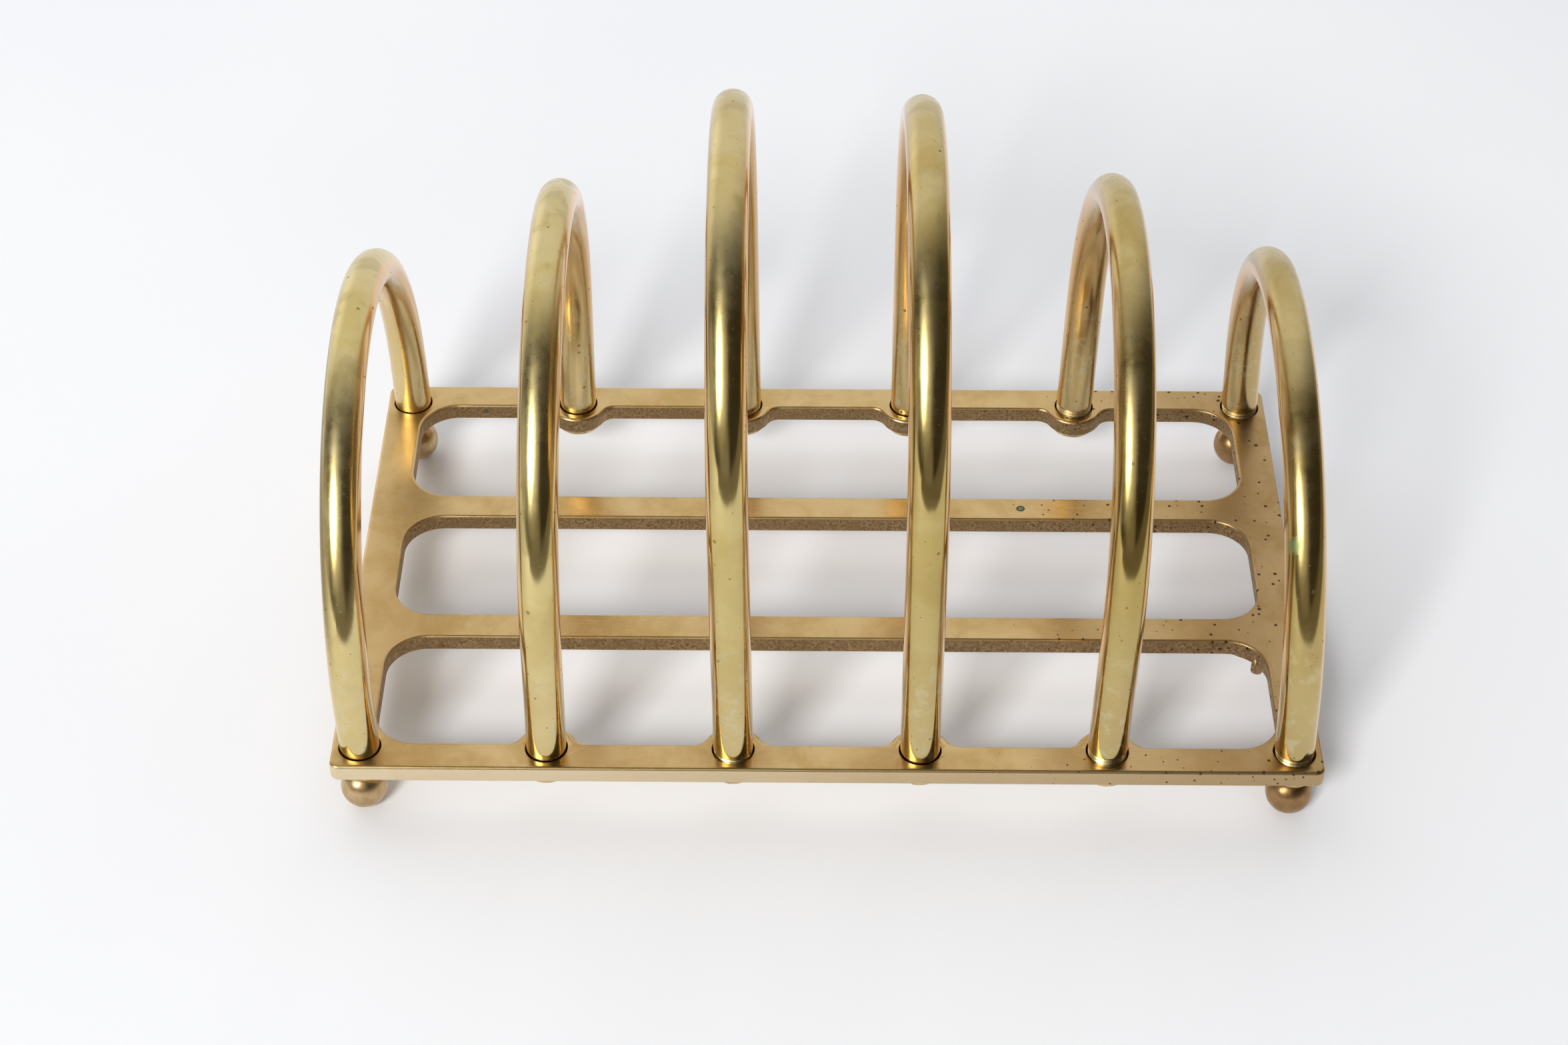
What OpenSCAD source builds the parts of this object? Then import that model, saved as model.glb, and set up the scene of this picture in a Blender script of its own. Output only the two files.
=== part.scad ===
// Toast rack: six bent rods standing in a flat cast frame with three windows.
// Each rod end passes through a hole in the frame and takes a thin ring nut
// underneath. The four corner rod ends also carry a screwed-in ball foot.
// Sizes are in millimetres. The rack stands on z = 0 with +z up.

/* [Rods] */
// Diameter of the round rod
rod_d = 6.35; // [5:0.05:7.5]
// Centre distance from the front leg to the back leg of a rod
leg_span = 86.5; // [70:0.5:105]
// Centre distance from one rod to the next
rod_pitch = 29.6; // [24:0.2:38]
// Height of an end rod's centre line at its top, above the step where its thread starts
end_height = 51.9; // [50:0.1:62]
// Height of a middle rod's centre line at its top, above the step where its thread starts
mid_height = 66.1; // [54:0.1:78]
// Height of a tall rod's centre line at its top, above the step where its thread starts
tall_height = 82.6; // [68:0.1:99]
// Sideways lean of each rod in degrees, from left to right
rod_lean = [-1.35, 0.6, -0.5, -0.2, 1.3, -1.9];
// Height of that step above the frame's top, rod by rod from the left; below 0 it sits in the hole
rod_lift = [-0.4, -0.3, 0.6, -0.3, 1.25, 1];

/* [Threaded ends] */
// Step from the rod's side down to the thread's crests
thread_step = 0.1; // [0.08:0.01:0.3]
// Pitch of the thread
thread_pitch = 0.6; // [0.4:0.05:1]
// Depth of a thread groove
thread_depth = 0.25; // [0.1:0.01:0.3]
// Length of thread that stands out below a ring nut
thread_tail = 0.3; // [0.1:0.05:0.5]
// Side gap between a thread and what it passes through
thread_gap = 0.05; // [0.02:0.01:0.1]

/* [Frame] */
// Distance from the end holes' centres to the frame's left and right ends
end_margin = 4.5; // [4:0.1:7]
// Distance from the holes' centres to the frame's front and back edges
side_margin = 4.75; // [4:0.05:7]
// Thickness of the frame
frame_t = 3; // [2.4:0.1:3.8]
// Radius of the frame's outer corners
frame_corner_r = 1.5; // [0.5:0.1:3]
// Width of the bar at each end of the frame
end_bar_w = 6.5; // [5.6:0.1:8]
// Width of the front and back rails
rail_w = 5.7; // [5:0.1:7]
// Width of the two bars that run along the middle
mid_bar_w = 5.7; // [4:0.1:7]
// Corner radius of a window
window_r = 6.5; // [3:0.1:8]
// Side gap between a thread and its hole in the frame
hole_gap = 0.3; // [0.15:0.05:0.4]
// Metal left around each inner hole, where the round boss swells from the rail
boss_wall = 1.55; // [1.2:0.05:2.4]
// Radius of the hollow corner beside a boss
boss_fillet_r = 2.5; // [1.5:0.1:3]
// Diameter of the casting stub left under the right end bar
stub_d = 2; // [1:0.1:3]
// Length of the casting stub
stub_h = 2; // [0.5:0.1:3]
// Distance of the stub from the end bar's inner edge
stub_in = 1; // [0:0.1:3]
// Distance of the stub from the centre line of the front inner bar
stub_off = 4.45; // [0:0.1:6]

/* [Ring nuts] */
// Wall of a ring nut, from its bore to its rim
nut_wall = 0.675; // [0.5:0.025:0.9]
// Thickness of a ring nut
nut_t = 1.25; // [0.8:0.05:1.3]
// Size of the broken edge on a ring nut
nut_edge = 0.15; // [0.05:0.05:0.2]

/* [Ball feet] */
// Diameter of a ball foot
ball_d = 7.5; // [6:0.1:9]
// Gap between the rod end and the top of a ball
ball_gap = 0.3; // [0.1:0.05:1.5]
// Radius of the flat worn on the bottom of a ball
ball_flat_r = 1; // [0.5:0.1:1.5]
// Diameter of the stud that screws into the rod end
stud_d = 4; // [2.5:0.1:4.2]
// Length of the stud inside the rod end
stud_l = 5; // [3:0.1:7]

/* [Hidden] */
$fn = 96;
leg_y = leg_span / 2;
arch_r = leg_span / 2;
thread_d = rod_d - 2 * thread_step;
hole_d = thread_d + 2 * hole_gap;
nut_bore_d = thread_d + 2 * thread_gap;
boss_r = hole_d / 2 + boss_wall;
frame_l = 5 * rod_pitch + 2 * end_margin;
frame_w = leg_span + 2 * side_margin;
ball_drop = nut_t + thread_tail + ball_gap + ball_d / 2;
ball_flat_drop = sqrt(pow(ball_d / 2, 2) - pow(ball_flat_r, 2));
under_z = ball_drop + ball_flat_drop;
top_z = under_z + frame_t;
end_z = under_z - nut_t - thread_tail;
window_l = frame_l - 2 * end_bar_w;
window_w = (frame_w - 2 * rail_w - 2 * mid_bar_w) / 3;
window_step = window_w + mid_bar_w;
rail_in = frame_w / 2 - rail_w;
fillet_y = rail_in - boss_fillet_r;
fillet_x = sqrt(pow(boss_r + boss_fillet_r, 2) - pow(leg_y - fillet_y, 2));
heights = [end_height, mid_height, tall_height, tall_height, mid_height, end_height];

function rod_x(i) = (i - 2.5) * rod_pitch;

// ---------------------------------------------------------------- frame

module rounded_plate(l, w, r) {
    square([l - 2 * r, w], center = true);
    square([l, w - 2 * r], center = true);
    for (sx = [-1, 1], sy = [-1, 1])
        translate([sx * (l / 2 - r), sy * (w / 2 - r)])
            circle(r = r);
}

// A boss bulges from a rail into its window and runs out in two hollow corners
module boss_outline(i, side) {
    translate([rod_x(i), 0])
        difference() {
            union() {
                translate([0, side * leg_y])
                    circle(r = boss_r);
                polygon([[-fillet_x, side * (rail_in + 1)],
                         [-fillet_x, side * fillet_y],
                         [0, side * leg_y],
                         [fillet_x, side * fillet_y],
                         [fillet_x, side * (rail_in + 1)]]);
            }
            for (sx = [-1, 1])
                translate([sx * fillet_x, side * fillet_y])
                    circle(r = boss_fillet_r);
        }
}

module frame_outline() {
    difference() {
        rounded_plate(frame_l, frame_w, frame_corner_r);
        for (k = [-1, 0, 1])
            translate([0, k * window_step])
                rounded_plate(window_l, window_w, window_r);
    }
    intersection() {
        square([window_l, 2 * rail_in + 2], center = true);
        for (i = [1 : 4], side = [-1, 1])
            boss_outline(i, side);
    }
}

module base_frame() {
    color([0.73, 0.61, 0.42]) {
        difference() {
            translate([0, 0, under_z])
                linear_extrude(height = frame_t)
                    frame_outline();
            for (i = [0 : 5], side = [-1, 1])
                translate([rod_x(i), side * leg_y, under_z - 1])
                    cylinder(d = hole_d, h = frame_t + 2);
        }
        translate([window_l / 2 - stub_in, -window_step / 2 - stub_off, under_z - stub_h])
            cylinder(d = stub_d, h = stub_h + 1);
    }
}

// ---------------------------------------------------------------- rods

// A rod end: plain neck at the top, then rings of thread, then a short taper
module threaded_end(shoulder_z) {
    r = thread_d / 2;
    neck_z = shoulder_z - 0.15;
    turns = floor((neck_z - end_z - 0.5) / thread_pitch);
    rotate_extrude()
        polygon(concat(
            [[0, shoulder_z + 1], [r, shoulder_z + 1], [r, neck_z]],
            [for (k = [0 : turns - 1], s = [0, 1])
                s == 0 ? [r - thread_depth, neck_z - (k + 0.5) * thread_pitch]
                       : [r, neck_z - (k + 1) * thread_pitch]],
            [[r, end_z + 0.4], [r - 0.4, end_z], [0, end_z]]));
}

module arch(i, hollow_ends) {
    straight = heights[i] - arch_r;
    shoulder_z = top_z + rod_lift[i];
    color([0.72, 0.60, 0.28])
        difference() {
            union() {
                translate([rod_x(i), 0, top_z])
                    rotate([0, rod_lean[i], 0]) {
                        for (side = [-1, 1])
                            translate([0, side * leg_y, rod_lift[i]])
                                cylinder(d = rod_d, h = straight);
                        translate([0, 0, rod_lift[i] + straight])
                            rotate([90, 0, 90])
                                rotate_extrude(angle = 180)
                                    translate([arch_r, 0])
                                        circle(d = rod_d);
                    }
                for (side = [-1, 1])
                    translate([rod_x(i), side * leg_y, 0])
                        threaded_end(shoulder_z);
            }
            if (hollow_ends)
                for (side = [-1, 1])
                    translate([rod_x(i), side * leg_y, end_z - 1])
                        cylinder(d = stud_d + 2 * thread_gap, h = stud_l + 1.5);
        }
}

module arch_end_left() { arch(0, true); }
module arch_mid_left() { arch(1, false); }
module arch_tall_left() { arch(2, false); }
module arch_tall_right() { arch(3, false); }
module arch_mid_right() { arch(4, false); }
module arch_end_right() { arch(5, true); }

// ---------------------------------------------------------------- ring nuts

module ring_nut(i, side) {
    bore_r = nut_bore_d / 2;
    r = bore_r + nut_wall;
    color([0.66, 0.52, 0.30])
        translate([rod_x(i), side * leg_y, under_z - nut_t])
            rotate_extrude()
                polygon([[bore_r, 0], [r - nut_edge, 0], [r, nut_edge],
                         [r, nut_t - nut_edge], [r - nut_edge, nut_t], [bore_r, nut_t]]);
}

module nut_front_1() { ring_nut(0, -1); }
module nut_front_2() { ring_nut(1, -1); }
module nut_front_3() { ring_nut(2, -1); }
module nut_front_4() { ring_nut(3, -1); }
module nut_front_5() { ring_nut(4, -1); }
module nut_front_6() { ring_nut(5, -1); }
module nut_back_1() { ring_nut(0, 1); }
module nut_back_2() { ring_nut(1, 1); }
module nut_back_3() { ring_nut(2, 1); }
module nut_back_4() { ring_nut(3, 1); }
module nut_back_5() { ring_nut(4, 1); }
module nut_back_6() { ring_nut(5, 1); }

// ---------------------------------------------------------------- ball feet

// A turned ball on a plain stud, worn flat where it stands
module ball_foot(i, side) {
    color([0.60, 0.44, 0.24])
        translate([rod_x(i), side * leg_y, ball_flat_drop]) {
            intersection() {
                sphere(d = ball_d);
                translate([0, 0, -ball_flat_drop])
                    cylinder(d = 2 * ball_d, h = 2 * ball_d);
            }
            cylinder(d = stud_d, h = end_z - ball_flat_drop + stud_l);
        }
}

module foot_front_left() { ball_foot(0, -1); }
module foot_front_right() { ball_foot(5, -1); }
module foot_back_left() { ball_foot(0, 1); }
module foot_back_right() { ball_foot(5, 1); }

// ---------------------------------------------------------------- show

base_frame();
arch_end_left();
arch_mid_left();
arch_tall_left();
arch_tall_right();
arch_mid_right();
arch_end_right();
nut_front_1();
nut_front_2();
nut_front_3();
nut_front_4();
nut_front_5();
nut_front_6();
nut_back_1();
nut_back_2();
nut_back_3();
nut_back_4();
nut_back_5();
nut_back_6();
foot_front_left();
foot_front_right();
foot_back_left();
foot_back_right();
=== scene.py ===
import math

import bmesh
import bpy
from mathutils import Matrix, Vector


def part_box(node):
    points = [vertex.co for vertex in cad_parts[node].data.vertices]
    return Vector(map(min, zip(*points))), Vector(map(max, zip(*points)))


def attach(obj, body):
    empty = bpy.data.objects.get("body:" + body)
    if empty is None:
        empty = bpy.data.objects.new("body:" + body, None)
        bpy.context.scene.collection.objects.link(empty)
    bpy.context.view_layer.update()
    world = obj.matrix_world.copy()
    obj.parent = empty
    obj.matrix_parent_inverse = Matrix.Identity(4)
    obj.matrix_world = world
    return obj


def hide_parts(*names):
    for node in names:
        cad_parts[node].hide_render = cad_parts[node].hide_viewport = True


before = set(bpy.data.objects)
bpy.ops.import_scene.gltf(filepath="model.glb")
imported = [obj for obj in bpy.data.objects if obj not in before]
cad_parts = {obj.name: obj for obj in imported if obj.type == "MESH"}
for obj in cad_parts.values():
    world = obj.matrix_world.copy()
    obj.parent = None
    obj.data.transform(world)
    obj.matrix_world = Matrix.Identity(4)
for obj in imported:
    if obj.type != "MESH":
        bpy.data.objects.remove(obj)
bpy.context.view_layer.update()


# ---------------------------------------------------------------- camera
# A long lens looking down at the front of the rack from a little above
# arm's length, so that the rods fan out and the windows stay open.

SENSOR_WIDTH = 36.0                          # mm
LENS = 71.19                                 # mm
CAMERA_AT = (-0.00383, -0.38866, 0.36295)    # metres
ROLL, TURN, TILT = 0.0061, 0.0064, 0.7202    # radians

scene = bpy.context.scene
camera_data = bpy.data.cameras.new("camera")
camera_data.sensor_width = SENSOR_WIDTH
camera_data.lens = LENS
camera_data.clip_start = 0.01
camera_data.dof.use_dof = False
camera = bpy.data.objects.new("camera", camera_data)
scene.collection.objects.link(camera)
look = (Matrix.Rotation(ROLL, 3, "Z") @ Matrix.Rotation(TURN, 3, "Y")
        @ Matrix.Rotation(TILT, 3, "X") @ Matrix(((1, 0, 0), (0, 0, -1), (0, 1, 0))))
flip = Matrix(((1, 0, 0), (0, -1, 0), (0, 0, -1)))
camera.matrix_world = (Matrix.Translation(CAMERA_AT)
                       @ (flip @ look).transposed().to_4x4())
scene.camera = camera
scene.view_settings.view_transform = "Standard"


# ---------------------------------------------------------------- floor and light
# White paper under the rack, a window in front of it and to the left, and
# soft light from the rest of the room. Polished brass shows the room
# itself, so the room is a dome that only mirror-like surfaces see.

def put(tree, kind, sockets=None, **settings):
    made = tree.nodes.new(kind)
    for key, value in settings.items():
        setattr(made, key, value)
    for key, value in (sockets or {}).items():
        if isinstance(value, bpy.types.NodeSocket):
            tree.links.new(value, made.inputs[key])
        else:
            made.inputs[key].default_value = value
    return made


def calc(tree, operation, *values):
    made = put(tree, "ShaderNodeMath", dict(enumerate(values)), operation=operation)
    return made.outputs[0]


def fade(tree, value, start, end, low=0.0, high=1.0):
    made = put(tree, "ShaderNodeMapRange",
               {"Value": value, "From Min": start, "From Max": end,
                "To Min": low, "To Max": high}, interpolation_type="SMOOTHSTEP")
    return made.outputs["Result"]


def blend(tree, amount, first, second, mode="MIX"):
    made = put(tree, "ShaderNodeMix", {0: amount, 6: first, 7: second},
               data_type="RGBA", blend_type=mode)
    return made.outputs[2]


def new_material(name):
    material = bpy.data.materials.new(name)
    material.use_nodes = True
    tree = material.node_tree
    tree.nodes.clear()
    return material, tree


def finish_object(name, mesh_maker, material):
    mesh = bpy.data.meshes.new(name)
    mesh_maker.to_mesh(mesh)
    mesh_maker.free()
    made = bpy.data.objects.new(name, mesh)
    scene.collection.objects.link(made)
    made.data.materials.append(material)
    return made


def direction(azimuth, elevation):
    a, e = math.radians(azimuth), math.radians(elevation)
    return (math.sin(a) * math.cos(e), -math.cos(a) * math.cos(e), math.sin(e))


PAPER_HALF = 4.0                 # metres

paper, tree = new_material("paper")
spot = put(tree, "ShaderNodeTexCoord").outputs["Object"]
grain = put(tree, "ShaderNodeTexNoise", {"Vector": spot, "Scale": 900.0, "Detail": 3.0})
cloud = put(tree, "ShaderNodeTexNoise", {"Vector": spot, "Scale": 6.0, "Detail": 2.0})
tone = blend(tree, fade(tree, cloud.outputs[0], 0.3, 0.7),
             (0.845, 0.845, 0.862, 1), (0.875, 0.875, 0.885, 1))
relief = put(tree, "ShaderNodeBump", {"Height": grain.outputs[0], "Strength": 0.06,
                                      "Distance": 0.0002})
paper_skin = put(tree, "ShaderNodeBsdfPrincipled",
                 {"Base Color": tone, "Roughness": 0.75, "Specular IOR Level": 0.25,
                  "Normal": relief.outputs[0]})
put(tree, "ShaderNodeOutputMaterial", {"Surface": paper_skin.outputs[0]})

maker = bmesh.new()
bmesh.ops.create_grid(maker, x_segments=1, y_segments=1, size=PAPER_HALF)
floor = finish_object("floor", maker, paper)

# Each light: name, azimuth, elevation (degrees), distance, width, height (metres), watts, colour.
# Azimuth 0 is straight in front of the rack, negative to the left.
LIGHTS = [
    ("window_light", -22, 36, 1.9, 0.52, 0.48, 30.0, (1.0, 0.995, 0.99)),
    ("back_light", -160, 42, 0.9, 1.3, 1.3, 4.8, (0.98, 0.99, 1.0)),
]
for name, azimuth, elevation, distance, width, tall, watts, colour in LIGHTS:
    light_data = bpy.data.lights.new(name, "AREA")
    light_data.shape = "RECTANGLE"
    light_data.size = width
    light_data.size_y = tall
    light_data.energy = watts
    light_data.color = colour
    light = bpy.data.objects.new(name, light_data)
    light.location = Vector(direction(azimuth, elevation)) * distance
    light.rotation_euler = light.location.to_track_quat("Z", "Y").to_euler()
    light.visible_glossy = False
    scene.collection.objects.link(light)

world = bpy.data.worlds.new("room_light")
scene.world = world
world.use_nodes = True
sky = world.node_tree.nodes["Background"]
sky.inputs["Color"].default_value = (0.94, 0.965, 1.0, 1)
sky.inputs["Strength"].default_value = 0.35

# Each glow: azimuth, elevation, full inside, gone outside (degrees), strength, colour.
GLOWS = [
    (-43, 37, 8, 18, 8.0, (1.0, 1.0, 0.93)),
    (-42, 40, 12, 38, 0.42, (1.0, 1.0, 0.90)),
    (-10, 42, 7, 24, 0.45, (1.0, 1.0, 0.92)),
    (-176, 26, 40, 70, 0.80, (1.0, 1.0, 0.96)),
    (-132, 4, 12, 34, 0.35, (1.0, 1.0, 1.0)),
    (-80, 2, 10, 26, 0.50, (1.0, 1.0, 0.97)),
    (-6, 7, 10, 30, 0.24, (1.0, 0.95, 0.84)),
    (-150, 80, 10, 50, 0.06, (1.0, 1.0, 1.0)),
]
ROOM_DARK = (0.048, 0.040, 0.029)
ROOM_R = 1.25                    # metres


def show_only_in_gloss(thing):
    thing.visible_camera = False
    thing.visible_diffuse = False
    thing.visible_shadow = False
    thing.visible_transmission = False


room, tree = new_material("room_dome")
spot = put(tree, "ShaderNodeTexCoord").outputs["Object"]
toward = put(tree, "ShaderNodeVectorMath", {0: spot}, operation="NORMALIZE").outputs[0]
total = ROOM_DARK + (1,)
for azimuth, elevation, inner, outer, strength, tint in GLOWS:
    axis = direction(azimuth, elevation)
    facing = put(tree, "ShaderNodeVectorMath", {0: toward, 1: axis},
                 operation="DOT_PRODUCT").outputs["Value"]
    lobe = fade(tree, facing, math.cos(math.radians(outer)), math.cos(math.radians(inner)))
    lit = tuple(strength * c for c in tint) + (1,)
    total = blend(tree, lobe, total, blend(tree, 1.0, total, lit, "ADD"))
glow = put(tree, "ShaderNodeEmission", {"Color": total, "Strength": 1.0})
put(tree, "ShaderNodeOutputMaterial", {"Surface": glow.outputs[0]})

maker = bmesh.new()
bmesh.ops.create_icosphere(maker, subdivisions=4, radius=ROOM_R)
bmesh.ops.reverse_faces(maker, faces=maker.faces[:])
dome = finish_object("room_dome", maker, room)
show_only_in_gloss(dome)

# The paper ends not far in front of the rack. A low dark strip, seen only in
# polished metal, stands where the dark table begins.
TABLE_EDGE = [(-0.34, -0.42), (0.10, -0.38), (0.30, -0.12), (0.32, 0.20)]
TABLE_TONE = (0.210, 0.185, 0.150, 1)
TABLE_EDGE_UP = 0.001            # metres above the paper
TABLE_EDGE_TALL = 0.075

edge_dark, tree = new_material("dark_table_edge")
dull = put(tree, "ShaderNodeEmission", {"Color": TABLE_TONE, "Strength": 1.0})
put(tree, "ShaderNodeOutputMaterial", {"Surface": dull.outputs[0]})
maker = bmesh.new()
foot_line = [maker.verts.new((x, y, TABLE_EDGE_UP)) for x, y in TABLE_EDGE]
strips = [maker.edges.new(pair) for pair in zip(foot_line, foot_line[1:])]
risen = bmesh.ops.extrude_edge_only(maker, edges=strips)["geom"]
bmesh.ops.translate(maker, verts=[g for g in risen if isinstance(g, bmesh.types.BMVert)],
                    vec=(0, 0, TABLE_EDGE_TALL))
table_edge = finish_object("dark_table_edge", maker, edge_dark)
show_only_in_gloss(table_edge)


# ---------------------------------------------------------------- cast frame
# One sand-cast brass plate, three windows long, linished flat on top and on
# its outer edges. The walls of the windows keep the rough brown cast skin.

MM = 0.001
TOP_ROUND = 0.60 * MM      # edges worn round by polishing
UNDER_ROUND = 0.35 * MM
HOLE_ROUND = 0.12 * MM     # broken edges of the drilled holes
STUB_CLEAR = 4.0 * MM      # no rounding this near the casting stub
ROUND_STAGES = 4
HOLE_ZONE = 3.6 * MM       # from a hole's centre to past its edge
LEVEL_SLACK = 0.01 * MM    # how closely a point lies on a flat


def millimetres(tree):
    """The place of each point in the object's own space, in millimetres."""
    spot = put(tree, "ShaderNodeTexCoord").outputs["Object"]
    return put(tree, "ShaderNodeVectorMath", {0: spot, "Scale": 1000.0},
               operation="SCALE").outputs[0]


def normal_parts(tree):
    normal = put(tree, "ShaderNodeNewGeometry").outputs["Normal"]
    return put(tree, "ShaderNodeSeparateXYZ", {0: normal})


def add_up(tree, total, *others):
    for other in others:
        total = calc(tree, "ADD", total, other)
    return total


def stretched_noise(tree, vector, stretch, **settings):
    """Noise drawn out along one direction, for streaks and turning marks."""
    drawn_out = put(tree, "ShaderNodeMapping", {0: vector, "Scale": stretch}).outputs[0]
    return put(tree, "ShaderNodeTexNoise",
               {"Vector": drawn_out, "Scale": 1.0, **settings}).outputs[0]


frame_low, frame_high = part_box("base_frame")

cast, tree = new_material("cast_brass")
mm = millimetres(tree)
place = put(tree, "ShaderNodeSeparateXYZ", {0: mm})
facing = normal_parts(tree)
clouds = put(tree, "ShaderNodeTexNoise", {"Vector": mm, "Scale": 0.09, "Detail": 5.0,
                                          "Roughness": 0.62, "Distortion": 0.4}).outputs[0]
mottle = put(tree, "ShaderNodeTexNoise", {"Vector": mm, "Scale": 0.45, "Detail": 3.0,
                                          "Roughness": 0.55}).outputs[0]
skin = put(tree, "ShaderNodeTexNoise", {"Vector": mm, "Scale": 2.2, "Detail": 5.0,
                                        "Roughness": 0.65}).outputs[0]
tint = blend(tree, fade(tree, clouds, 0.36, 0.62),
             (0.590, 0.400, 0.165, 1), (0.690, 0.500, 0.245, 1))
tint = blend(tree, fade(tree, mottle, 0.45, 0.70, 0.0, 0.30),
             tint, (0.720, 0.540, 0.290, 1))
uneven_x = calc(tree, "ADD", place.outputs[0], calc(tree, "MULTIPLY", clouds, 30.0))
dull_end = fade(tree, uneven_x, 45.0, 90.0)
tint = blend(tree, dull_end, tint,
             blend(tree, 1.0, tint, (0.70, 0.66, 0.66, 1), "MULTIPLY"))
stain_cells = put(tree, "ShaderNodeTexVoronoi", {"Vector": mm, "Scale": 0.075, "Randomness": 1.0})
stain_pick = put(tree, "ShaderNodeSeparateColor", {0: stain_cells.outputs["Color"]})
stain_edge = calc(tree, "ADD", stain_cells.outputs["Distance"],
                  calc(tree, "MULTIPLY", mottle, 0.12))
stain = calc(tree, "MULTIPLY", fade(tree, stain_edge, 0.17, 0.10),
             calc(tree, "GREATER_THAN", stain_pick.outputs[0], 0.55))
tint = blend(tree, calc(tree, "MULTIPLY", stain, 0.45), tint, (0.560, 0.300, 0.100, 1))
wall = calc(tree, "SUBTRACT", 1.0,
            fade(tree, calc(tree, "ABSOLUTE", facing.outputs[2]), 0.25, 0.75))
half_x = (frame_high.x - frame_low.x) / 2 / MM
half_y = (frame_high.y - frame_low.y) / 2 / MM
inside_x = calc(tree, "LESS_THAN", calc(tree, "ABSOLUTE", place.outputs[0]), half_x - 1.0)
inside_y = calc(tree, "LESS_THAN", calc(tree, "ABSOLUTE", place.outputs[1]), half_y - 1.0)
window_wall = calc(tree, "MULTIPLY", wall, calc(tree, "MULTIPLY", inside_x, inside_y))
outer_wall = calc(tree, "SUBTRACT", wall, window_wall)
tint = blend(tree, calc(tree, "MULTIPLY", outer_wall, 0.75), tint,
             blend(tree, fade(tree, place.outputs[0], -80.0, 80.0),
                   (0.860, 0.740, 0.530, 1), (0.500, 0.360, 0.200, 1)))
rough_skin = blend(tree, fade(tree, skin, 0.35, 0.65),
                   (0.170, 0.100, 0.048, 1), (0.500, 0.340, 0.170, 1))
rough_skin = blend(tree, fade(tree, mottle, 0.40, 0.62, 0.0, 0.7),
                   rough_skin, (0.300, 0.190, 0.095, 1))
tint = blend(tree, calc(tree, "MULTIPLY", window_wall, 0.93), tint, rough_skin)
pits = put(tree, "ShaderNodeTexVoronoi", {"Vector": mm, "Scale": 0.80, "Randomness": 1.0})
pick = put(tree, "ShaderNodeSeparateColor", {0: pits.outputs["Color"]})
right_end = fade(tree, uneven_x, 25.0, 75.0, 0.02, 0.27)
pit_size = calc(tree, "MULTIPLY", calc(tree, "MULTIPLY", pick.outputs[1], right_end),
                calc(tree, "GREATER_THAN", pick.outputs[0], 0.25))
pit = calc(tree, "LESS_THAN", pits.outputs["Distance"], pit_size)
tint = blend(tree, calc(tree, "MULTIPLY", pit, 0.85), tint, (0.070, 0.045, 0.025, 1))


def verdigris(tree, mm, middle, size, ragged):
    """How green a small corroded spot is: 1 in its pale middle, 0.5 in its dark ring."""
    apart = put(tree, "ShaderNodeVectorMath", {0: mm, 1: middle},
                operation="DISTANCE").outputs["Value"]
    apart = calc(tree, "ADD", apart, calc(tree, "MULTIPLY", ragged, 0.6 * size))
    ring = fade(tree, apart, 1.35 * size, 1.20 * size, 0.0, 0.5)
    return calc(tree, "ADD", ring, fade(tree, apart, 1.05 * size, 0.75 * size, 0.0, 0.5))


RING_GREEN = (0.060, 0.085, 0.060, 1)
PALE_GREEN = (0.220, 0.330, 0.280, 1)
# Spots on the back middle bar and on the back rail's inner wall
green = calc(tree, "MAXIMUM", verdigris(tree, mm, (33.5, 15.1, 12.2), 0.75, skin),
             verdigris(tree, mm, (-60.9, 42.3, 11.0), 0.40, skin))
tint = blend(tree, fade(tree, green, 0.0, 0.5, 0.0, 0.9), tint,
             blend(tree, fade(tree, green, 0.5, 1.0), RING_GREEN, PALE_GREEN))
rub = stretched_noise(tree, mm, (0.10, 3.2, 1.0), Detail=4.0)
roughness = add_up(tree, fade(tree, clouds, 0.3, 0.7, 0.26, 0.18),
                   fade(tree, rub, 0.4, 0.7, 0.0, 0.04),
                   fade(tree, place.outputs[0], -58.0, -70.0, 0.0, 0.10),
                   calc(tree, "MULTIPLY", window_wall, 0.24),
                   calc(tree, "MULTIPLY", dull_end, 0.10),
                   fade(tree, green, 0.0, 0.5, 0.0, 0.4),
                   calc(tree, "MULTIPLY", pit, 0.3))
cast_grain = calc(tree, "MULTIPLY", skin, fade(tree, window_wall, 0.0, 1.0, 0.02, 1.0))
height = calc(tree, "ADD", cast_grain, calc(tree, "MULTIPLY", pit, -0.8))
relief = put(tree, "ShaderNodeBump", {"Height": height, "Strength": 0.35, "Distance": 0.00025})
cast_skin = put(tree, "ShaderNodeBsdfPrincipled",
                {"Base Color": tint, "Metallic": 1.0, "Roughness": roughness,
                 "Normal": relief.outputs[0]})
put(tree, "ShaderNodeOutputMaterial", {"Surface": cast_skin.outputs[0]})

maker = bmesh.new()
maker.from_mesh(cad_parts["base_frame"].data)
bmesh.ops.remove_doubles(maker, verts=maker.verts[:], dist=2e-6)
hole_centres = [(low + high) / 2 for low, high in
                (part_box(f"nut_{row}_{k}") for row in ("front", "back") for k in range(1, 7))]
plate_top = frame_high.z
plate_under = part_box("nut_front_1")[1].z
stub_verts = [v.co.copy() for v in maker.verts if v.co.z < plate_under - 0.1 * MM]
stub_at = sum(stub_verts, Vector()) / len(stub_verts)

flats = [f for f in maker.faces if abs(f.normal.z) > 0.99
         and any(abs(f.calc_center_median().z - level) < LEVEL_SLACK
                 for level in (plate_top, plate_under))]
bmesh.ops.delete(maker, geom=flats, context="FACES")
base_layer = maker.verts.layers.float_vector.new("rim_base")
roll_layer = maker.verts.layers.float_vector.new("rim_roll")

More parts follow.
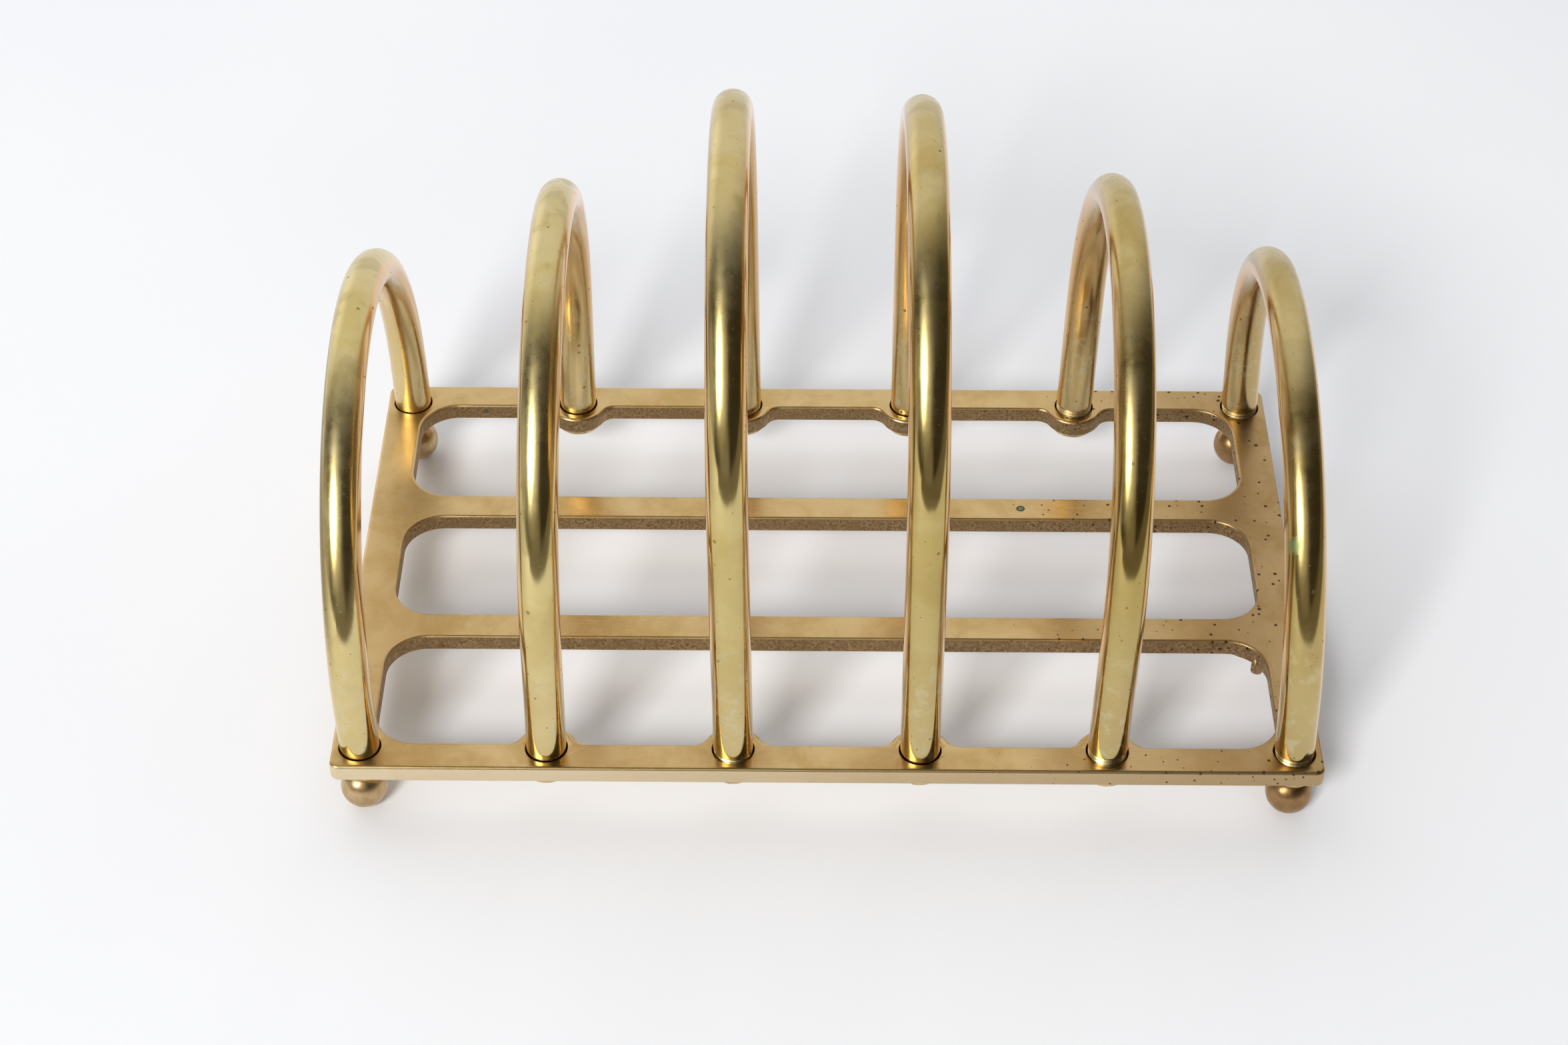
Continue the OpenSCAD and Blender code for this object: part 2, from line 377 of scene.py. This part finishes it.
# Each open rim is rolled over from the wall onto the flat, then the flat is filled in
for level, up, edge_round in ((plate_top, 1, TOP_ROUND), (plate_under, -1, UNDER_ROUND)):
    rim = [e for e in maker.edges if e.is_boundary
           and all(abs(v.co.z - level) < LEVEL_SLACK for v in e.verts)]
    for v in {v for e in rim for v in e.verts}:
        outward = sum((f.normal for f in v.link_faces if abs(f.normal.z) < 0.1), Vector())
        reach = edge_round
        if any((v.co.xy - c.xy).length < HOLE_ZONE for c in hole_centres):
            reach = HOLE_ROUND
        if up < 0 and (v.co.xy - stub_at.xy).length < STUB_CLEAR:
            reach = 0.0
        v[base_layer] = v.co - Vector((0, 0, up * reach))
        v[roll_layer] = -outward.normalized() * reach
        v.co.z -= up * reach
    for stage in range(1, ROUND_STAGES + 1):
        angle = math.pi / 2 * stage / ROUND_STAGES
        rolled = bmesh.ops.extrude_edge_only(maker, edges=rim)["geom"]
        rim = [g for g in rolled if isinstance(g, bmesh.types.BMEdge)]
        for v in {v for e in rim for v in e.verts}:
            roll = v[roll_layer]
            v.co = (v[base_layer] + roll * (1 - math.cos(angle))
                    + Vector((0, 0, up * roll.length * math.sin(angle))))
    bmesh.ops.triangle_fill(maker, use_beauty=True, use_dissolve=False, edges=rim,
                            normal=(0, 0, up))
bmesh.ops.remove_doubles(maker, verts=maker.verts[:], dist=1e-6)
bmesh.ops.recalc_face_normals(maker, faces=maker.faces[:])
for face in maker.faces:
    face.smooth = True
cast_frame = finish_object("cast_frame", maker, cast)
even = cast_frame.modifiers.new("even_shading", "WEIGHTED_NORMAL")
even.keep_sharp = True
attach(cast_frame, "root")
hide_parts("base_frame")


# ---------------------------------------------------------------- bent rods
# Six lengths of quarter-inch brass rod, each bent to an arch and threaded at
# both ends. They were polished and lacquered; the lacquer has gone cloudy on
# the crowns and has worn off the lower legs, and the inner side is tarnished.

ROD_R = 3.175 * MM
THREAD_R = 3.075 * MM
THREAD_DEPTH = 0.25 * MM
THREAD_PITCH = 0.6 * MM
THREAD_CREST = 0.06 * MM       # half the flat on top of a ring
THREAD_INTO_ROD = 1.15 * MM    # how far the threaded end reaches up inside the rod
PAST_NUT = 0.3 * MM
CHAMFER = 0.15 * MM
ROUND_STEPS = 64
BEND_STEPS = 120
STUD_HOLE_R = 2.05 * MM
STUD_HOLE_DEEP = 5.5 * MM
ROD_SHARP = 35                 # degrees
ARCHES = [  # name, number of its nuts, lean in degrees, step above the frame in mm, hollow ends
    ("arch_end_left", 1, -1.35, -0.4, True),
    ("arch_mid_left", 2, 0.6, -0.3, False),
    ("arch_tall_left", 3, -0.5, 0.6, False),
    ("arch_tall_right", 4, -0.2, -0.3, False),
    ("arch_mid_right", 5, 1.3, 1.25, False),
    ("arch_end_right", 6, -1.9, 1.0, True),
]

GREEN_PATCH = (70.7, -36.2, 49.6)

rod, tree = new_material("rod_brass")
along = put(tree, "ShaderNodeAttribute", attribute_name="along").outputs["Vector"]
along_mm = put(tree, "ShaderNodeVectorMath", {0: along, "Scale": 1000.0},
               operation="SCALE").outputs[0]
local = put(tree, "ShaderNodeSeparateXYZ", {0: along_mm})
mm = millimetres(tree)
where = put(tree, "ShaderNodeSeparateXYZ", {0: mm})
facing = normal_parts(tree)
streaks = stretched_noise(tree, along_mm, (1.3, 1.3, 0.035), Detail=4.0, Roughness=0.6)
clouds = put(tree, "ShaderNodeTexNoise", {"Vector": mm, "Scale": 0.075, "Detail": 4.0,
                                          "Roughness": 0.6, "Distortion": 0.6}).outputs[0]
worn = put(tree, "ShaderNodeTexNoise", {"Vector": mm, "Scale": 0.42, "Detail": 6.0,
                                        "Roughness": 0.62, "Distortion": 0.2}).outputs[0]
fine = put(tree, "ShaderNodeTexNoise", {"Vector": mm, "Scale": 3.0, "Detail": 4.0}).outputs[0]
inner = fade(tree, calc(tree, "DIVIDE", local.outputs[1], -ROD_R / MM), -0.15, 0.75)
crown = fade(tree, facing.outputs[2], 0.25, 0.85)
low = fade(tree, where.outputs[2], 48.0, 20.0)
tarnish = put(tree, "ShaderNodeTexNoise", {"Vector": mm, "Scale": 0.11, "Detail": 6.0,
                                           "Roughness": 0.55, "Distortion": 0.3}).outputs[0]
across = calc(tree, "DIVIDE", calc(tree, "ABSOLUTE", local.outputs[0]), ROD_R / MM)
flank_tarnish_and_reflection = fade(tree, across, 0.74, 0.92)

# bright metal, yellower and duller towards the right-hand rods
tint = blend(tree, fade(tree, clouds, 0.35, 0.65),
             (0.655, 0.515, 0.205, 1), (0.735, 0.608, 0.280, 1))
tint = blend(tree, fade(tree, where.outputs[0], -80.0, 85.0), tint,
             blend(tree, 1.0, tint, (0.66, 0.59, 0.42, 1), "MULTIPLY"))
# olive tarnish with a ragged edge where the lacquer is off, mostly high on the bend
bare = calc(tree, "MULTIPLY", fade(tree, tarnish, 0.53, 0.60),
            fade(tree, facing.outputs[2], -0.1, 0.6, 0.25, 1.0))
tint = blend(tree, calc(tree, "MULTIPLY", bare, 0.45), tint, (0.430, 0.320, 0.125, 1))
# brown inner side, never reached by the polishing cloth
browned = calc(tree, "MULTIPLY", inner, fade(tree, streaks, 0.30, 0.62, 0.30, 0.85))
browned = calc(tree, "MULTIPLY", browned, fade(tree, low, 0.0, 1.0, 1.0, 0.45))
tint = blend(tree, browned, tint, (0.640, 0.400, 0.160, 1))
# orange flanks: partly tarnish, partly painted reflection of the brass rods and frame beside them
tint = blend(tree, calc(tree, "MULTIPLY", flank_tarnish_and_reflection, fade(tree, streaks, 0.35, 0.60, 0.45, 0.85)),
             tint, (0.870, 0.495, 0.205, 1))
# a painted dark reflection of something dark standing to the left: an olive strip on the left of
# each bend, heaviest on the left-hand end rod
left_painted_reflection = calc(tree, "MULTIPLY", fade(tree, facing.outputs[0], -0.40, -0.85),
                  calc(tree, "MULTIPLY", fade(tree, facing.outputs[2], 0.08, 0.26),
                       fade(tree, facing.outputs[2], 0.58, 0.42)))
left_painted_reflection = calc(tree, "MULTIPLY", left_painted_reflection,
                  fade(tree, where.outputs[0], -65.0, -50.0, 0.95, 0.50))
tint = blend(tree, left_painted_reflection, tint, (0.230, 0.165, 0.060, 1))
# paler metal and cloudy lacquer low on the legs, cloudy lacquer over the crown
tint = blend(tree, calc(tree, "MULTIPLY", low, 0.35), tint, (0.770, 0.630, 0.360, 1))
cloudy = calc(tree, "MULTIPLY", low, fade(tree, worn, 0.50, 0.66, 0.0, 0.55))
tint = blend(tree, cloudy, tint, (0.680, 0.640, 0.400, 1))
tint = blend(tree, calc(tree, "MULTIPLY", crown, fade(tree, clouds, 0.35, 0.65, 0.10, 0.40)),
             tint, (0.720, 0.610, 0.370, 1))
dots = put(tree, "ShaderNodeTexVoronoi", {"Vector": mm, "Scale": 0.42, "Randomness": 1.0})
pick = put(tree, "ShaderNodeSeparateColor", {0: dots.outputs["Color"]})
dot_size = calc(tree, "MULTIPLY", fade(tree, pick.outputs[1], 0.0, 1.0, 0.03, 0.12),
                calc(tree, "GREATER_THAN", pick.outputs[0], 0.62))
specks = put(tree, "ShaderNodeTexVoronoi", {"Vector": mm, "Scale": 1.2, "Randomness": 1.0})
speck_pick = put(tree, "ShaderNodeSeparateColor", {0: specks.outputs["Color"]})
speck_size = calc(tree, "MULTIPLY", fade(tree, speck_pick.outputs[1], 0.0, 1.0, 0.04, 0.13),
                  calc(tree, "GREATER_THAN", speck_pick.outputs[0], 0.80))
dot = calc(tree, "MAXIMUM",
           fade(tree, calc(tree, "SUBTRACT", dots.outputs["Distance"], dot_size), 0.02, 0.0),
           fade(tree, calc(tree, "SUBTRACT", specks.outputs["Distance"], speck_size), 0.03, 0.0))
tint = blend(tree, calc(tree, "MULTIPLY", dot, 0.6), tint, (0.230, 0.130, 0.050, 1))
# one verdigris patch on the front of the right-hand end rod
green = verdigris(tree, mm, GREEN_PATCH, 1.5, fine)
tint = blend(tree, fade(tree, green, 0.0, 1.0, 0.0, 0.75), tint, (0.260, 0.360, 0.170, 1))
roughness = add_up(tree, fade(tree, clouds, 0.3, 0.7, 0.09, 0.14),
                   calc(tree, "MULTIPLY", crown, fade(tree, worn, 0.3, 0.7, 0.12, 0.22)),
                   calc(tree, "MULTIPLY", inner, fade(tree, streaks, 0.35, 0.65, 0.04, 0.16)),
                   calc(tree, "MULTIPLY", cloudy, 0.18),
                   calc(tree, "MULTIPLY", bare, 0.05),
                   calc(tree, "MULTIPLY", dot, 0.3),
                   calc(tree, "MULTIPLY", green, 0.25))
height = add_up(tree, calc(tree, "MULTIPLY", streaks, 0.4), calc(tree, "MULTIPLY", fine, 0.05),
                calc(tree, "MULTIPLY", dot, -0.1))
relief = put(tree, "ShaderNodeBump", {"Height": height, "Strength": 0.10, "Distance": 0.0002})
rod_skin = put(tree, "ShaderNodeBsdfPrincipled",
               {"Base Color": tint, "Metallic": 1.0, "Roughness": roughness,
                "Normal": relief.outputs[0]})
put(tree, "ShaderNodeOutputMaterial", {"Surface": rod_skin.outputs[0]})


def turn(maker, profile, center):
    """Spins an outline of (radius, height) points about an upright axis."""
    points = [maker.verts.new((center.x + r, center.y, z)) for r, z in profile]
    lines = [maker.edges.new(pair) for pair in zip(points, points[1:])]
    bmesh.ops.spin(maker, geom=points + lines, cent=center, axis=(0, 0, 1),
                   angle=math.tau, steps=ROUND_STEPS, use_merge=True)


def close_and_smooth(maker, sharp_above):
    """Merges the seams, turns faces outwards and keeps the edges above an angle crisp."""
    bmesh.ops.remove_doubles(maker, verts=maker.verts[:], dist=1e-7)
    bmesh.ops.recalc_face_normals(maker, faces=maker.faces[:])
    for face in maker.faces:
        face.smooth = True
    for edge in maker.edges:
        edge.smooth = edge.calc_face_angle(0) < math.radians(sharp_above)


for node_name, number, lean, step_up, hollow in ARCHES:
    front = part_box(f"nut_front_{number}")
    foot = (front[0] + front[1]) / 2
    half_span = -foot.y
    tilt = math.radians(lean)
    shoulder = step_up * MM
    crown_z = (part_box(node_name)[1].z - ROD_R - plate_top) / math.cos(tilt)
    spring_z = crown_z - half_span

    # the rod above the frame: a ring drawn up the front leg, over and down
    maker = bmesh.new()
    bmesh.ops.create_circle(maker, cap_ends=True, radius=ROD_R - CHAMFER, segments=ROUND_STEPS,
                            matrix=Matrix.Translation((0, -half_span, shoulder)))
    ring = maker.edges[:]
    for rise, grow in ((CHAMFER, CHAMFER), (spring_z - shoulder - CHAMFER, 0)):
        drawn = bmesh.ops.extrude_edge_only(maker, edges=ring)["geom"]
        verts = [g for g in drawn if isinstance(g, bmesh.types.BMVert)]
        ring = [g for g in drawn if isinstance(g, bmesh.types.BMEdge)]
        bmesh.ops.translate(maker, verts=verts, vec=(0, 0, rise))
        factor = 1 + grow / (ROD_R - CHAMFER)
        bmesh.ops.scale(maker, verts=verts, vec=(factor, factor, 1),
                        space=Matrix.Translation((0, half_span, 0)))
    bent = bmesh.ops.spin(maker, geom=verts + ring, cent=(0, 0, spring_z), axis=(1, 0, 0),
                          angle=-math.pi, steps=BEND_STEPS, use_merge=False)["geom_last"]
    ring = [g for g in bent if isinstance(g, bmesh.types.BMEdge)]
    for drop, shrink in ((spring_z - shoulder - CHAMFER, 0), (CHAMFER, CHAMFER)):
        drawn = bmesh.ops.extrude_edge_only(maker, edges=ring)["geom"]
        verts = [g for g in drawn if isinstance(g, bmesh.types.BMVert)]
        ring = [g for g in drawn if isinstance(g, bmesh.types.BMEdge)]
        bmesh.ops.translate(maker, verts=verts, vec=(0, 0, -drop))
        factor = 1 - shrink / ROD_R
        bmesh.ops.scale(maker, verts=verts, vec=(factor, factor, 1),
                        space=Matrix.Translation((0, -half_span, 0)))
    bmesh.ops.contextual_create(maker, geom=ring)

    # each point's place across and along the rod, for streaks that follow it
    along_layer = maker.verts.layers.float_vector.new("along")
    for v in maker.verts:
        x, y, z = v.co
        if z > spring_z:
            turned = math.atan2(z - spring_z, -y)
            v[along_layer] = (x, math.hypot(y, z - spring_z) - half_span,
                              spring_z + half_span * turned)
        elif y < 0:
            v[along_layer] = (x, -y - half_span, z)
        else:
            v[along_layer] = (x, y - half_span, 2 * spring_z + math.pi * half_span - z)
    bmesh.ops.rotate(maker, verts=maker.verts[:], cent=(0, 0, 0),
                     matrix=Matrix.Rotation(tilt, 3, "Y"))
    bmesh.ops.translate(maker, verts=maker.verts[:], vec=(foot.x, 0, plate_top))

    # the threaded ends, through the frame and just past the ring nuts
    neck_z = plate_top + shoulder - CHAMFER
    end_z = front[0].z - PAST_NUT
    for side in (-1, 1):
        outline = [(0, neck_z + THREAD_INTO_ROD), (THREAD_R, neck_z + THREAD_INTO_ROD),
                   (THREAD_R, neck_z)]
        crest_z = neck_z
        while crest_z - THREAD_PITCH > end_z + 0.5 * MM:
            outline += [(THREAD_R, crest_z - THREAD_CREST),
                        (THREAD_R - THREAD_DEPTH, crest_z - THREAD_PITCH / 2),
                        (THREAD_R, crest_z - THREAD_PITCH + THREAD_CREST)]
            crest_z -= THREAD_PITCH
        outline += [(THREAD_R, end_z + 0.4 * MM), (THREAD_R - 0.15 * MM, end_z + 0.1 * MM),
                    (THREAD_R - 0.4 * MM, end_z)]
        if hollow:
            outline += [(STUD_HOLE_R, end_z), (STUD_HOLE_R, end_z + STUD_HOLE_DEEP),
                        (0, end_z + STUD_HOLE_DEEP)]
        else:
            outline += [(0, end_z)]
        before = set(maker.verts)
        turn(maker, outline, Vector((foot.x, side * half_span, 0)))
        for v in set(maker.verts) - before:
            v[along_layer] = (v.co.x - foot.x, abs(v.co.y) - half_span, v.co.z)
    close_and_smooth(maker, ROD_SHARP)
    piece = finish_object(node_name.replace("arch", "rod"), maker, rod)
    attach(piece, "root")
    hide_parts(node_name)


# ---------------------------------------------------------------- ring nuts
# Twelve thin turned brass rings, screwed up against the underside of the
# frame. Nobody polishes them, so they are dull and patchy brown.

NUT_BORE_R = 3.125 * MM
NUT_BORE_EDGE = 0.1 * MM
NUT_ROUND = 0.15 * MM          # rounding of the outer edges
NUT_ROUND_MID = 0.045 * MM     # how far in its middle point lies
NUT_SHARP = 50                 # degrees

nut, tree = new_material("nut_brass")
mm = millimetres(tree)
grime = put(tree, "ShaderNodeTexNoise", {"Vector": mm, "Scale": 0.9, "Detail": 5.0}).outputs[0]
marks = stretched_noise(tree, mm, (0.6, 0.6, 9.0), Detail=3.0)
tint = blend(tree, fade(tree, grime, 0.35, 0.65),
             (0.520, 0.370, 0.170, 1), (0.780, 0.620, 0.330, 1))
relief = put(tree, "ShaderNodeBump", {"Height": marks, "Strength": 0.25, "Distance": 0.0001})
nut_skin = put(tree, "ShaderNodeBsdfPrincipled",
               {"Base Color": tint, "Metallic": 1.0,
                "Roughness": fade(tree, grime, 0.3, 0.7, 0.36, 0.20),
                "Normal": relief.outputs[0]})
put(tree, "ShaderNodeOutputMaterial", {"Surface": nut_skin.outputs[0]})

for row in ("front", "back"):
    for number in range(1, 7):
        node_name = f"nut_{row}_{number}"
        low_corner, high_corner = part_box(node_name)
        middle = (low_corner + high_corner) / 2
        rim = (high_corner.x - low_corner.x) / 2
        bottom, top = low_corner.z, high_corner.z
        maker = bmesh.new()
        turn(maker, [(NUT_BORE_R, bottom + NUT_BORE_EDGE), (NUT_BORE_R + NUT_BORE_EDGE, bottom),
                     (rim - NUT_ROUND, bottom), (rim - NUT_ROUND_MID, bottom + NUT_ROUND_MID),
                     (rim, bottom + NUT_ROUND), (rim, top - NUT_ROUND),
                     (rim - NUT_ROUND_MID, top - NUT_ROUND_MID), (rim - NUT_ROUND, top),
                     (NUT_BORE_R, top), (NUT_BORE_R, bottom + NUT_BORE_EDGE)],
             Vector((middle.x, middle.y, 0)))
        close_and_smooth(maker, NUT_SHARP)
        ring_nut = finish_object(node_name.replace("nut", "ring_nut"), maker, nut)
        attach(ring_nut, "root")
        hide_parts(node_name)


# ---------------------------------------------------------------- ball feet
# Four balls turned from brass bar in one with the stud that screws up into a
# corner rod. They are handled and damp below, so they have gone brown.

STUD_R = 2.0 * MM
BALL_R = 3.75 * MM
FLAT_R = 1.0 * MM
BALL_STEPS = 32
BALL_SHARP = 35                # degrees

ball, tree = new_material("ball_brass")
mm = millimetres(tree)
patina = put(tree, "ShaderNodeTexNoise", {"Vector": mm, "Scale": 0.5, "Detail": 5.0,
                                          "Roughness": 0.6}).outputs[0]
marks = stretched_noise(tree, mm, (0.3, 0.3, 7.0), Detail=3.0)
tint = blend(tree, fade(tree, patina, 0.35, 0.65),
             (0.490, 0.335, 0.170, 1), (0.610, 0.445, 0.245, 1))
place = put(tree, "ShaderNodeSeparateXYZ", {0: mm})
tint = blend(tree, fade(tree, place.outputs[0], -60.0, 60.0), tint,
             blend(tree, 1.0, tint, (0.66, 0.56, 0.47, 1), "MULTIPLY"))
relief = put(tree, "ShaderNodeBump", {"Height": marks, "Strength": 0.08, "Distance": 0.0001})
ball_skin = put(tree, "ShaderNodeBsdfPrincipled",
                {"Base Color": tint, "Metallic": 1.0,
                 "Roughness": fade(tree, patina, 0.3, 0.7, 0.33, 0.27),
                 "Normal": relief.outputs[0]})
put(tree, "ShaderNodeOutputMaterial", {"Surface": ball_skin.outputs[0]})

for corner in ("front_left", "front_right", "back_left", "back_right"):
    low_corner, high_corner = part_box(f"foot_{corner}")
    middle = (low_corner + high_corner) / 2
    ball_z = math.sqrt(BALL_R ** 2 - FLAT_R ** 2)
    first = -math.asin(ball_z / BALL_R)
    last = math.acos(STUD_R / BALL_R)
    outline = [(0, 0)]
    for step in range(BALL_STEPS + 1):
        angle = first + (last - first) * step / BALL_STEPS
        outline.append((BALL_R * math.cos(angle), ball_z + BALL_R * math.sin(angle)))
    outline += [(STUD_R, high_corner.z), (0, high_corner.z)]
    maker = bmesh.new()
    turn(maker, outline, Vector((middle.x, middle.y, 0)))
    close_and_smooth(maker, BALL_SHARP)
    ball_foot = finish_object(f"ball_foot_{corner}", maker, ball)
    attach(ball_foot, "root")
    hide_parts(f"foot_{corner}")
